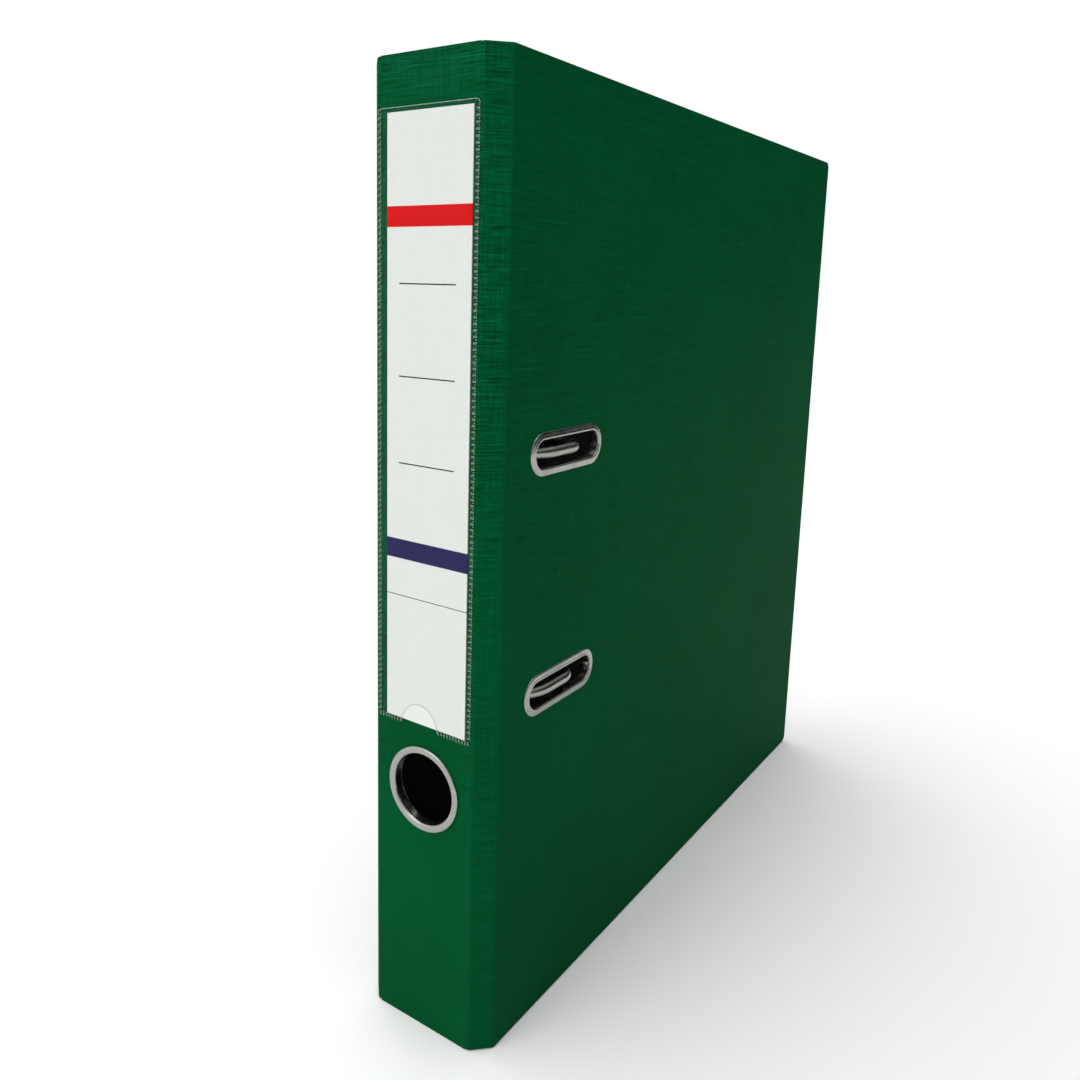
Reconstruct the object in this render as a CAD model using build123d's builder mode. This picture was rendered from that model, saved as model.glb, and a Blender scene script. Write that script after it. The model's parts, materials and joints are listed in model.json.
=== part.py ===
"""Lever arch file: a hinged board case with a riveted two-arch mechanism.

The file stands on its lower edge. X runs across the spine from the back cover to the front
cover, Y runs from the spine to the covers' free edges, and Z is up. All lengths are millimetres.
Lengths called "reach" run along Y from the spine's outside face.
"""
from build123d import *
import os
from math import cos, radians, sin, tan

# Case
HEIGHT = 315.0
DEPTH = 282.0
SPINE_WIDTH = 52.0
BEVEL = 6.0                 # each joint strip's reach in X and in Y
FILM = 0.2
BOARD = 1.9
LINER = 0.2
TURN_IN = 4.5               # film folded onto the inside face, as far as the liner's edge
HINGE_GAP = 0.05
CORNER_RADIUS = 3.0
LEAST_CORNER = 0.5          # on the inner layers

# Eyelets
SLOT_LENGTH = 37.6
SLOT_WIDTH = 9.0
SLOT_RIM = 2.5
SLOT_REACH = 40.1           # slot centre
FINGER_HOLE_RADIUS = 12.0
FINGER_HOLE_HEIGHT = 86.9
FINGER_RIM = 2.5
RING_STEP = 0.25            # the ring's face above the pocket's film
EYELET_WALL = 0.5
EYELET_PROUD = 0.6
RIM_ROUNDING = 0.45         # share of how far the rim stands proud
BACKING_THICKNESS = 0.5
CLINCH = 0.4
CLINCH_RIM = 1.2
FIT = 0.1                   # clearance around anything set in a hole

# Label pocket
POCKET_WIDTH = 38.6
POCKET_BOTTOM = 108.3
POCKET_HEIGHT = 191.4
POCKET_FILM = 0.15
WELD_WIDTH = 1.4
BOTTOM_WELD = 0.9
CARD_WIDTH = 32.5
CARD_HEIGHT = 189.4
CARD_THICKNESS = 0.3
CARD_SHIFT = 0.6
CARD_PLAY = 0.05
NOTCH_RADIUS = 7.4
NOTCH_SHIFT = -1.6

# Mechanism
PITCH = 80.0                # between the two arches, and between the two posts
WIRE = 4.0
PLATE_THICKNESS = 1.0
PLATE_REACH = 10.0
PLATE_WIDTH = 52.0
PLATE_LENGTH = 140.0
PLATE_CORNER = 5.0
RIVET_INSET = 6.5
RIVET_RADIUS = 2.0
RIVET_HEAD_RADIUS = 4.5
RIVET_HEAD = 1.0
RIVET_TAIL_RADIUS = 3.5
RIVET_TAIL = 0.8
AXLE_REACH = 17.0
AXLE_HEIGHT = 5.5           # above the back cover's inside face
POST_REACH = 50.0
POST_HEIGHT = 23.7
POST_RADIUS = 2.8
POST_WALL = 0.6
COLLAR_RADIUS = 4.2
COLLAR = 0.8
ARCH_PROUD = 1.0            # how far the crowns stand out of the front cover
INNER_BEND = 17.0
OUTER_BEND = 7.0
AXLE_BEND = 5.0
CRANK_THROW = 11.0
CRANK_HALF_LENGTH = 12.0
CRANK_BEND = 4.0
TIP_DEPTH = 1.0
TIP_CHAMFER = 1.2
LUG_WALL = 1.2
LUG_LENGTH = 8.0
LUG_OFFSET = 31.0
RUNNING = 0.08              # radial clearance of an axle in its bore

# Lever
PIVOT_OFFSET = 29.0         # above mid-height
PIVOT_HEIGHT = 12.7
PIVOT_RADIUS = 1.5
PIN_HEAD_RADIUS = 2.4
PIN_HEAD = 0.6
LEVER_WIDTH = 13.0
LEVER_SHEET = 1.0
LEVER_TOP = 17.0
LEVER_TAIL = 4.0
FLANGE_END = -18.0
FLANGE_TAPER = 12.0
FLANGE_END_DEPTH = 2.5
FLANGE_BOTTOM = 9.2
FLANGE_ROUND = 4.3
TAB_START = -20.0
TAB_END = -33.0
TAB_RISE = 9.0
BEAD_RADIUS = 1.6
ROLLER_RADIUS = 4.0
ROLLER_OFFSET = 9.0
ROLLER_PIN_RADIUS = 1.25
ROLLER_PIN_HEAD_RADIUS = 1.9
ROLLER_PIN_HEAD = 0.5
ROLLER_PLAY = 0.3
CONTACT_GAP = 0.1
BRACKET_SHEET = 1.2
BRACKET_LENGTH = 13.0
BRACKET_GAP = 0.3
EAR_RADIUS = 2.9
SMALL_RIVET_RADIUS = 1.2
SMALL_RIVET_HEAD_RADIUS = 2.2
SMALL_RIVET_HEAD = 0.7
BRACKET_RIVET_SPACING = 8.4
HEAD_ROUNDING = 0.6         # share of a rivet head's height
TAIL_ROUNDING = 0.5         # share of a rivet tail's height

# Leaf spring
SPRING_WIDTH = 8.0
SPRING_BEND = 6.0
SPRING_THICKNESS = 0.5
SPRING_FOOT_START = -26.0
SPRING_FOOT_END = -15.0
SPRING_CREST = 3.0
SPRING_TIP = 10.0
SPRING_TIP_DROP = 0.8
SPRING_RIVET_OFFSET = -21.0

# Compressor bar
BAR_LENGTH = 108.0
BAR_WIDTH = 18.0
BAR_THICKNESS = 2.5
BAR_LIFT = 0.3              # rest gap above the posts' collars
BAR_CORNER = 4.5
BAR_HOLE_LENGTH = 11.0
BAR_HOLE_WIDTH = 8.0
BAR_GRIP = 4.0
BAR_GRIP_THICKNESS = 1.6

# Derived places
WALL = FILM + BOARD + LINER
SPINE_FLAT = SPINE_WIDTH - 2 * BEVEL
RING_PROUD = CARD_PLAY * 2 + CARD_THICKNESS + POCKET_FILM + RING_STEP
SPINE_Y = -(DEPTH - RING_PROUD) / 2
MID_HEIGHT = HEIGHT / 2
MITRE = tan(radians(22.5))
SIDE_X = SPINE_WIDTH / 2
BENCH_X = WALL - SIDE_X     # the back cover's inside face, which carries the mechanism
CROWN_HEIGHT = SPINE_WIDTH - WALL + ARCH_PROUD - WIRE / 2
CRANK_REACH = AXLE_REACH + CRANK_THROW
PLATE_MIDDLE = PLATE_REACH + PLATE_WIDTH / 2

# Planes. On each, local Y is up; the names say which way their normals point.
SPINE_OUT = Plane(origin=(0, SPINE_Y, 0), x_dir=(1, 0, 0), z_dir=(0, -1, 0))
FRONT_OUT = Plane(origin=(SIDE_X, SPINE_Y, MID_HEIGHT), x_dir=(0, 1, 0), z_dir=(1, 0, 0))
BACK_IN = Plane(origin=(-SIDE_X, SPINE_Y, MID_HEIGHT), x_dir=(0, 1, 0), z_dir=(1, 0, 0))
BENCH = Plane(origin=(BENCH_X, SPINE_Y, MID_HEIGHT), x_dir=(0, 1, 0), z_dir=(1, 0, 0))


def crosswise(reach):
    """Plane across the mechanism at a reach, with local X up the file and local Y off the bench."""
    return Plane(origin=(BENCH_X, SPINE_Y + reach, MID_HEIGHT), x_dir=(0, 0, 1), z_dir=(0, 1, 0))


def bench_point(reach, up, height):
    """A point of the mechanism, from its reach, its place above mid-height and its height."""
    return (BENCH_X + height, SPINE_Y + reach, MID_HEIGHT + up)


# Panels of the case: outside corner, direction along the panel, direction inward, length,
# and whether the far end is a free edge.
DIAGONAL = cos(radians(45))
PANELS = {
    "spine": ((-SPINE_FLAT / 2, SPINE_Y), (1, 0), (0, 1), SPINE_FLAT, False),
    "front_joint": (
        (SPINE_FLAT / 2, SPINE_Y), (DIAGONAL, DIAGONAL), (-DIAGONAL, DIAGONAL), BEVEL / DIAGONAL, False
    ),
    "back_joint": (
        (-SPINE_FLAT / 2, SPINE_Y), (-DIAGONAL, DIAGONAL), (DIAGONAL, DIAGONAL), BEVEL / DIAGONAL, False
    ),
    "front_cover": ((SIDE_X, SPINE_Y + BEVEL), (0, 1), (-1, 0), DEPTH - BEVEL, True),
    "back_cover": ((-SIDE_X, SPINE_Y + BEVEL), (0, 1), (1, 0), DEPTH - BEVEL, True),
}


def layer(panel, outer, inner, inset):
    """Cross-section of one layer of a panel, between two depths below its outside face."""
    corner, along, inward, length, free_end = PANELS[panel]

    def point(distance, depth):
        return (
            corner[0] + along[0] * distance + inward[0] * depth,
            corner[1] + along[1] * distance + inward[1] * depth,
        )

    def start(depth):
        return HINGE_GAP + depth * MITRE

    def end(depth):
        return length - inset if free_end else length - start(depth)

    with BuildSketch(Plane.XY.offset(inset)) as section:
        with BuildLine():
            Polyline(
                point(start(outer), outer), point(end(outer), outer),
                point(end(inner), inner), point(start(inner), inner), close=True,
            )
        make_face()
    return section.sketch


def slab(panel, outer, inner, inset):
    """One layer of a panel as a solid, with its free corners rounded."""
    with BuildPart() as solid:
        extrude(layer(panel, outer, inner, inset), amount=HEIGHT - 2 * inset)
        if PANELS[panel][4]:
            corners = solid.edges().filter_by(Axis.X).group_by(Axis.Y)[-1]
            fillet(corners, max(CORNER_RADIUS - inset, LEAST_CORNER))
    return solid.part


SLOT_PLACES = {"lower": (SLOT_REACH, -PITCH / 2), "upper": (SLOT_REACH, PITCH / 2)}
RIVET_PLACES = [
    (PLATE_MIDDLE + side * (PLATE_WIDTH / 2 - RIVET_INSET), end * (PLATE_LENGTH / 2 - RIVET_INSET))
    for side in (-1, 1)
    for end in (-1, 1)
]


def wall_holes(panel):
    """The holes through one panel, as a sketch on its own plane, or None."""
    if panel == "spine":
        with BuildSketch(SPINE_OUT) as holes:
            with Locations((0, FINGER_HOLE_HEIGHT)):
                Circle(FINGER_HOLE_RADIUS + EYELET_WALL + FIT)
        return holes.sketch
    if panel == "front_cover":
        grow = 2 * (EYELET_WALL + FIT)
        with BuildSketch(FRONT_OUT) as holes:
            with Locations(*SLOT_PLACES.values()):
                SlotOverall(SLOT_LENGTH + grow, SLOT_WIDTH + grow)
        return holes.sketch
    if panel == "back_cover":
        with BuildSketch(BACK_IN) as holes:
            with Locations(*RIVET_PLACES):
                Circle(RIVET_RADIUS)
        return holes.sketch
    return None


pieces = {}

# The case: every panel is greyboard with film outside, turned in over its edges, and a liner.
for panel in PANELS:
    core = slab(panel, FILM, FILM + BOARD, FILM)
    window = slab(panel, FILM + BOARD, WALL, TURN_IN)
    holes = wall_holes(panel)

    with BuildPart() as board:
        add(core)
        if holes:
            extrude(holes, amount=SPINE_WIDTH / 2, both=True, mode=Mode.SUBTRACT)
    pieces[panel + "_board"] = board

    with BuildPart() as film:
        add(slab(panel, 0, WALL, 0))
        add(core, mode=Mode.SUBTRACT)
        add(window, mode=Mode.SUBTRACT)
        if holes:
            extrude(holes, amount=SPINE_WIDTH / 2, both=True, mode=Mode.SUBTRACT)
    pieces[panel + "_film"] = film

    with BuildPart() as liner:
        add(window)
        if holes:
            extrude(holes, amount=SPINE_WIDTH / 2, both=True, mode=Mode.SUBTRACT)
    pieces[panel + "_liner"] = liner


def eyelet_section(plane, place, shape, *sizes):
    """A ring between two outlines: the first size is the outer outline and the second the hole."""
    with BuildSketch(plane) as ring:
        with Locations(place):
            shape(*sizes[0])
            shape(*sizes[1], mode=Mode.SUBTRACT)
    return ring.sketch


def slot_outline(growth):
    """Size of the slot's outline, grown by so much all round."""
    return (SLOT_LENGTH + 2 * growth, SLOT_WIDTH + 2 * growth)


def ring_outline(growth):
    """Size of the finger hole's outline, grown by so much all round."""
    return (FINGER_HOLE_RADIUS + growth,)


def eyelet(plane, place, shape, outline, rim, proud):
    """A rim outside, a barrel through the wall, and a clinch over the backing inside."""
    clinch_start = -WALL - BACKING_THICKNESS
    hole = outline(0)
    with BuildPart() as body:
        extrude(eyelet_section(plane, place, shape, outline(rim), hole), amount=proud)
        outer_edges = body.edges().group_by(Axis((0, 0, 0), plane.z_dir))[-1]
        fillet(outer_edges, proud * RIM_ROUNDING)
        barrel = eyelet_section(plane, place, shape, outline(EYELET_WALL), hole)
        extrude(barrel, amount=clinch_start - CLINCH)
        clinch = eyelet_section(plane.offset(clinch_start), place, shape, outline(CLINCH_RIM), hole)
        extrude(clinch, amount=-CLINCH)
    return body


def backing(plane, place, shape, outline, rim):
    """The flat washer inside, which the clinch holds."""
    hole = outline(EYELET_WALL + FIT)
    ring = eyelet_section(plane.offset(-WALL), place, shape, outline(rim), hole)
    with BuildPart() as body:
        extrude(ring, amount=-BACKING_THICKNESS)
    return body


for name, place in SLOT_PLACES.items():
    pieces[name + "_slot_eyelet"] = eyelet(
        FRONT_OUT, place, SlotOverall, slot_outline, SLOT_RIM, EYELET_PROUD
    )
    pieces[name + "_slot_backing"] = backing(FRONT_OUT, place, SlotOverall, slot_outline, SLOT_RIM)

finger_place = (0, FINGER_HOLE_HEIGHT)
pieces["finger_ring"] = eyelet(SPINE_OUT, finger_place, Circle, ring_outline, FINGER_RIM, RING_PROUD)
pieces["finger_ring_backing"] = backing(SPINE_OUT, finger_place, Circle, ring_outline, FINGER_RIM)

# Label pocket: clear film welded to the spine along both sides and the bottom, open at the top.
pocket_gap = CARD_THICKNESS + 2 * CARD_PLAY
with BuildPart() as label_pocket:
    with BuildSketch(SPINE_OUT):
        with Locations((0, POCKET_BOTTOM + POCKET_HEIGHT / 2)):
            Rectangle(POCKET_WIDTH, POCKET_HEIGHT)
    extrude(amount=pocket_gap + POCKET_FILM)
    with BuildSketch(SPINE_OUT):
        with Locations((0, POCKET_BOTTOM + BOTTOM_WELD + POCKET_HEIGHT / 2)):
            Rectangle(POCKET_WIDTH - 2 * WELD_WIDTH, POCKET_HEIGHT)
    extrude(amount=pocket_gap, mode=Mode.SUBTRACT)
    with BuildSketch(SPINE_OUT):
        with Locations((NOTCH_SHIFT, POCKET_BOTTOM)):
            Circle(NOTCH_RADIUS)
    extrude(amount=pocket_gap + POCKET_FILM, mode=Mode.SUBTRACT)
pieces["label_pocket"] = label_pocket

with BuildPart() as spine_label:
    with BuildSketch(SPINE_OUT.offset(CARD_PLAY)):
        with Locations((CARD_SHIFT, POCKET_BOTTOM + BOTTOM_WELD + CARD_HEIGHT / 2)):
            Rectangle(CARD_WIDTH, CARD_HEIGHT)
    extrude(amount=CARD_THICKNESS)
pieces["spine_label"] = spine_label

# Base plate, with a bearing lug for the arch wire's axle near each arch.
lug_radius = WIRE / 2 + RUNNING + LUG_WALL
small_rivet_places = [
    (CRANK_REACH, PIVOT_OFFSET - BRACKET_RIVET_SPACING / 2),
    (CRANK_REACH, PIVOT_OFFSET + BRACKET_RIVET_SPACING / 2),
]
post_places = [(POST_REACH, -PITCH / 2), (POST_REACH, PITCH / 2)]
with BuildPart() as base_plate:
    with BuildSketch(BENCH):
        with Locations((PLATE_MIDDLE, 0)):
            RectangleRounded(PLATE_WIDTH, PLATE_LENGTH, PLATE_CORNER)
        with Locations(*post_places):
            Circle(POST_RADIUS + FIT / 2, mode=Mode.SUBTRACT)
        with Locations(*small_rivet_places, (CRANK_REACH, SPRING_RIVET_OFFSET)):
            Circle(SMALL_RIVET_RADIUS, mode=Mode.SUBTRACT)
        with Locations(*RIVET_PLACES):
            Circle(RIVET_RADIUS, mode=Mode.SUBTRACT)
    extrude(amount=PLATE_THICKNESS)
    for direction in (-1, 1):
        lug_plane = Plane(
            origin=bench_point(AXLE_REACH, direction * LUG_OFFSET, 0), x_dir=(0, 1, 0), z_dir=(0, 0, -1)
        )
        with BuildSketch(lug_plane):
            with Locations((0, AXLE_HEIGHT)):
                Circle(lug_radius)
            with Locations((0, (PLATE_THICKNESS + AXLE_HEIGHT) / 2)):
                Rectangle(2 * lug_radius, AXLE_HEIGHT - PLATE_THICKNESS)
            with Locations((0, AXLE_HEIGHT)):
                Circle(WIRE / 2 + RUNNING, mode=Mode.SUBTRACT)
        extrude(amount=LUG_LENGTH / 2, both=True)
pieces["base_plate"] = base_plate

# Fixed posts: tubes set through the plate, each with a collar on it and a countersunk mouth.
for name, place in (("lower_post", post_places[0]), ("upper_post", post_places[1])):
    with BuildPart() as post:
        with BuildSketch(BENCH):
            with Locations(place):
                Circle(POST_RADIUS)
        extrude(amount=POST_HEIGHT)
        with BuildSketch(BENCH.offset(PLATE_THICKNESS)):
            with Locations(place):
                Circle(COLLAR_RADIUS)
        extrude(amount=COLLAR)
        with BuildSketch(BENCH):
            with Locations(place):
                Circle(POST_RADIUS - POST_WALL)
        extrude(amount=POST_HEIGHT, mode=Mode.SUBTRACT)
        mouth = post.edges().filter_by(GeomType.CIRCLE).group_by(Axis.X)[-1].sort_by(SortBy.RADIUS)[0]
        chamfer(mouth, POST_WALL / 2)
    pieces[name] = post

# Arch wire: one bent wire with both arches, its axle, and the crank between them.
wire_points = [
    bench_point(POST_REACH, PITCH / 2, POST_HEIGHT - TIP_DEPTH),
    bench_point(POST_REACH, PITCH / 2, CROWN_HEIGHT),
    bench_point(AXLE_REACH, PITCH / 2, CROWN_HEIGHT),
    bench_point(AXLE_REACH, PITCH / 2, AXLE_HEIGHT),
    bench_point(AXLE_REACH, CRANK_HALF_LENGTH + CRANK_THROW, AXLE_HEIGHT),
    bench_point(CRANK_REACH, CRANK_HALF_LENGTH, AXLE_HEIGHT),
]
mirrored_points = [(x, y, 2 * MID_HEIGHT - z) for x, y, z in reversed(wire_points)]
bends = [OUTER_BEND, INNER_BEND, AXLE_BEND, CRANK_BEND, CRANK_BEND]
with BuildPart() as arch_wire:
    with BuildLine() as route:
        FilletPolyline(*wire_points, *mirrored_points, radius=bends + bends[::-1])
    with BuildSketch(Plane(origin=route.line @ 0, z_dir=route.line % 0)):
        Circle(WIRE / 2)
    sweep()
    tips = arch_wire.faces().filter_by(GeomType.PLANE)
    chamfer(tips.edges(), TIP_CHAMFER)
pieces["arch_wire"] = arch_wire

# Lever bracket: a folded strip with two ears, on the plate under the lever.
flange_gap = LEVER_WIDTH / 2 - LEVER_SHEET
ear_outside = flange_gap - BRACKET_GAP
with BuildPart() as lever_bracket:
    with BuildSketch(BENCH.offset(PLATE_THICKNESS)):
        with Locations((CRANK_REACH, PIVOT_OFFSET)):
            Rectangle(2 * ear_outside, BRACKET_LENGTH)
        with Locations(*small_rivet_places):
            Circle(SMALL_RIVET_RADIUS, mode=Mode.SUBTRACT)
    extrude(amount=BRACKET_SHEET)
    for side in (-1, 1):
        with BuildSketch(crosswise(CRANK_REACH + side * (ear_outside - BRACKET_SHEET / 2))):
            with Locations((PIVOT_OFFSET, (PLATE_THICKNESS + PIVOT_HEIGHT) / 2)):
                Rectangle(2 * EAR_RADIUS, PIVOT_HEIGHT - PLATE_THICKNESS)
            with Locations((PIVOT_OFFSET, PIVOT_HEIGHT)):
                Circle(EAR_RADIUS)
                Circle(PIVOT_RADIUS, mode=Mode.SUBTRACT)
        extrude(amount=BRACKET_SHEET / 2, both=True)
pieces["lever_bracket"] = lever_bracket

# Lever: a channel that straddles the bracket, with a curled finger tab at its free end.
roller_height = AXLE_HEIGHT + WIRE / 2 + CONTACT_GAP + ROLLER_RADIUS
web_height = LEVER_TOP - LEVER_SHEET / 2
with BuildPart() as lever:
    with BuildSketch(crosswise(CRANK_REACH)):
        with BuildLine() as web_line:
            Line((PIVOT_OFFSET + LEVER_TAIL, web_height), (TAB_START, web_height))
            TangentArc((TAB_START, web_height), (TAB_END, web_height + TAB_RISE), tangent=(-1, 0))
        trace(line_width=LEVER_SHEET)
        with Locations((TAB_END, web_height + TAB_RISE)):
            Circle(BEAD_RADIUS)
    extrude(amount=LEVER_WIDTH / 2, both=True)
    for side in (-1, 1):
        with BuildSketch(crosswise(CRANK_REACH + side * (LEVER_WIDTH - LEVER_SHEET) / 2)):
            with BuildLine():
                Polyline(
                    (PIVOT_OFFSET, web_height),
                    (FLANGE_END, web_height),
                    (FLANGE_END, web_height - FLANGE_END_DEPTH),
                    (FLANGE_END + FLANGE_TAPER, FLANGE_BOTTOM),
                    (PIVOT_OFFSET, PIVOT_HEIGHT - FLANGE_ROUND),
                    close=True,
                )
            make_face()
            with Locations((PIVOT_OFFSET, PIVOT_HEIGHT)):
                Circle(FLANGE_ROUND)
                Circle(PIVOT_RADIUS + RUNNING, mode=Mode.SUBTRACT)
            with Locations((ROLLER_OFFSET, roller_height)):
                Circle(ROLLER_PIN_RADIUS, mode=Mode.SUBTRACT)
        extrude(amount=LEVER_SHEET / 2, both=True)
pieces["lever"] = lever


def headed_pin(up, height, radius, half_length, head_radius, head):
    """A pin across the lever, with a head at each end."""
    with BuildPart() as pin:
        with BuildSketch(crosswise(CRANK_REACH)):
            with Locations((up, height)):
                Circle(radius)
        extrude(amount=half_length + head, both=True)
        for side in (-1, 1):
            with BuildSketch(crosswise(CRANK_REACH + side * (half_length + head / 2))):
                with Locations((up, height)):
                    Circle(head_radius)
            extrude(amount=head / 2, both=True)
    return pin


pieces["lever_pivot_pin"] = headed_pin(
    PIVOT_OFFSET, PIVOT_HEIGHT, PIVOT_RADIUS, LEVER_WIDTH / 2 + CONTACT_GAP, PIN_HEAD_RADIUS, PIN_HEAD
)
pieces["roller_pin"] = headed_pin(
    ROLLER_OFFSET, roller_height, ROLLER_PIN_RADIUS, LEVER_WIDTH / 2, ROLLER_PIN_HEAD_RADIUS, ROLLER_PIN_HEAD
)

with BuildPart() as pressure_roller:
    with BuildSketch(crosswise(CRANK_REACH)):
        with Locations((ROLLER_OFFSET, roller_height)):
            Circle(ROLLER_RADIUS)
            Circle(ROLLER_PIN_RADIUS + RUNNING, mode=Mode.SUBTRACT)
    extrude(amount=flange_gap - ROLLER_PLAY, both=True)
pieces["pressure_roller"] = pressure_roller

# Leaf spring: riveted to the plate at its foot, its crest just under the crank.
foot_height = PLATE_THICKNESS + SPRING_THICKNESS / 2
crest_height = AXLE_HEIGHT - WIRE / 2 - CONTACT_GAP - SPRING_THICKNESS / 2
with BuildPart() as leaf_spring:
    with BuildSketch(crosswise(CRANK_REACH)):
        with BuildLine():
            FilletPolyline(
                (SPRING_FOOT_START, foot_height),
                (SPRING_FOOT_END, foot_height),
                (SPRING_CREST, crest_height),
                (SPRING_TIP, crest_height - SPRING_TIP_DROP),
                radius=SPRING_BEND,
            )
        trace(line_width=SPRING_THICKNESS)
    extrude(amount=SPRING_WIDTH / 2, both=True)
    with BuildSketch(BENCH):
        with Locations((CRANK_REACH, SPRING_RIVET_OFFSET)):
            Circle(SMALL_RIVET_RADIUS)
    extrude(amount=2 * foot_height, mode=Mode.SUBTRACT)
pieces["leaf_spring"] = leaf_spring


def small_rivets(places, grip):
    """Rivets from the plate's underside, with round heads on top of what they grip."""
    with BuildPart() as rivets:
        with BuildSketch(BENCH):
            with Locations(*places):
                Circle(SMALL_RIVET_RADIUS)
        extrude(amount=grip + SMALL_RIVET_HEAD)
        with BuildSketch(BENCH.offset(grip)):
            with Locations(*places):
                Circle(SMALL_RIVET_HEAD_RADIUS)
        extrude(amount=SMALL_RIVET_HEAD)
        fillet(rivets.edges().group_by(Axis.X)[-1], SMALL_RIVET_HEAD * HEAD_ROUNDING)
    return rivets


pieces["bracket_rivets"] = small_rivets(small_rivet_places, PLATE_THICKNESS + BRACKET_SHEET)
pieces["leaf_spring_rivet"] = small_rivets(
    [(CRANK_REACH, SPRING_RIVET_OFFSET)], PLATE_THICKNESS + SPRING_THICKNESS
)

# Mechanism rivets: round heads outside the back cover, spread tails on the plate.
with BuildPart() as mechanism_rivets:
    with BuildSketch(BACK_IN.offset(-RIVET_HEAD)):
        with Locations(*RIVET_PLACES):
            Circle(RIVET_HEAD_RADIUS)
    extrude(amount=RIVET_HEAD)
    fillet(mechanism_rivets.edges().group_by(Axis.X)[0], RIVET_HEAD * HEAD_ROUNDING)
    with BuildSketch(BACK_IN):
        with Locations(*RIVET_PLACES):
            Circle(RIVET_RADIUS)
    extrude(amount=WALL + PLATE_THICKNESS + RIVET_TAIL)
    with BuildSketch(BACK_IN.offset(WALL + PLATE_THICKNESS)):
        with Locations(*RIVET_PLACES):
            Circle(RIVET_TAIL_RADIUS)
    extrude(amount=RIVET_TAIL)
    fillet(mechanism_rivets.edges().group_by(Axis.X)[-1], RIVET_TAIL * TAIL_ROUNDING)
pieces["mechanism_rivets"] = mechanism_rivets

# Compressor bar: a strip with two long holes that slides along the posts and arches.
bar_height = PLATE_THICKNESS + COLLAR + BAR_LIFT
with BuildPart() as compressor_bar:
    with BuildSketch(BENCH.offset(bar_height)):
        with Locations((POST_REACH, 0)):
            RectangleRounded(BAR_WIDTH, BAR_LENGTH, BAR_CORNER)
        with Locations(*post_places):
            SlotOverall(BAR_HOLE_LENGTH, BAR_HOLE_WIDTH, mode=Mode.SUBTRACT)
    extrude(amount=BAR_THICKNESS)
    with BuildSketch(BENCH.offset(bar_height + BAR_THICKNESS)):
        for direction in (-1, 1):
            with Locations((POST_REACH, direction * (BAR_LENGTH - BAR_GRIP) / 2)):
                Rectangle(BAR_WIDTH / 2, BAR_GRIP_THICKNESS)
    extrude(amount=BAR_GRIP)
pieces["compressor_bar"] = compressor_bar

os.makedirs("parts", exist_ok=True)
for name, piece in pieces.items():
    piece.part.label = name
    export_step(piece.part, f"parts/{name}.step")
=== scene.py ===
"""Looks of the lever arch file: film, eyelets, pocket, card and mechanism, around the CAD frame."""

import json
import math

import bmesh
import bpy
from mathutils import Euler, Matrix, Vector


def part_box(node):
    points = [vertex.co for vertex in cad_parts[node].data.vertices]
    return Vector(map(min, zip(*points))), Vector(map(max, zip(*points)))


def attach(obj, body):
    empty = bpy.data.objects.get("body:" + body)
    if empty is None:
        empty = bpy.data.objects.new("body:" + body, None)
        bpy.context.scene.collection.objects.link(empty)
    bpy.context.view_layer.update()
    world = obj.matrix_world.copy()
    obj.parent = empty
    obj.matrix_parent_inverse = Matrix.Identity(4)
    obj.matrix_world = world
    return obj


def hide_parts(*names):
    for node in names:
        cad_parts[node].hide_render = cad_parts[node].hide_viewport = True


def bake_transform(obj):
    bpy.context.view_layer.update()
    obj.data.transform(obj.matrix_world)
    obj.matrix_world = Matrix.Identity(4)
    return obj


MM = 0.001

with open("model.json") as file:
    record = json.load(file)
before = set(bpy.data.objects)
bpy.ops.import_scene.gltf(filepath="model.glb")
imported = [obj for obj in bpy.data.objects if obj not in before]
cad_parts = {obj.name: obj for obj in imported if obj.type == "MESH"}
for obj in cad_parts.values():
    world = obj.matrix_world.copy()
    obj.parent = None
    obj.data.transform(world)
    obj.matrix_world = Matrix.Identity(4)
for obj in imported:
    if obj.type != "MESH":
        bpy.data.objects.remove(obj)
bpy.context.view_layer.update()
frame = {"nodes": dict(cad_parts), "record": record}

# ---------------------------------------------------------------- sizes, from the frame
SPINE_LOW, SPINE_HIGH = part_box("spine_film")
COVER_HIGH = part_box("front_cover_film")[1]
HEIGHT = SPINE_HIGH.z
SPINE_Y = SPINE_LOW.y
SIDE_X = COVER_HIGH.x
FREE_Y = COVER_HIGH.y
BODY = COVER_HIGH.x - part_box("front_cover_liner")[1].x      # film outside and the board
HINGE_GAP = 0.05 * MM
FLAT_X = SPINE_HIGH.x + HINGE_GAP                   # the spine's creases
BEVEL = SIDE_X - FLAT_X

# Rounding of the case
CREASE_REACH = 1.5 * MM                             # from a crease to where its stretch ends
BEND_RADIUS = 1.3 * MM
CREASE_TURN = 45.0
CORNER = 3.0 * MM
EDGE = 0.6 * MM
CORNER_STEPS = 8
EDGE_STEPS = 3
CREASE_STEPS = 6
RIM_TURN = 60.0                                     # an edge that turns more than this is a rim

# Openings in the case
RING_LAP = 1.8 * MM                                 # from the ring's outer edge to the film's
SLOT_LAP = 1.9 * MM                                 # the same at a slot
RING_POINTS = 64
CUT_REACH = 10.0 * MM                               # of a cutter, to each side of the face

TOUCH = 1e-6
PANEL_SHARP = 50                                    # degrees between faces shaded as one


# ---------------------------------------------------------------- mesh helpers
def new_object(name, mesh):
    made = bpy.data.objects.new(name, mesh)
    bpy.context.scene.collection.objects.link(made)
    return made


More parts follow.
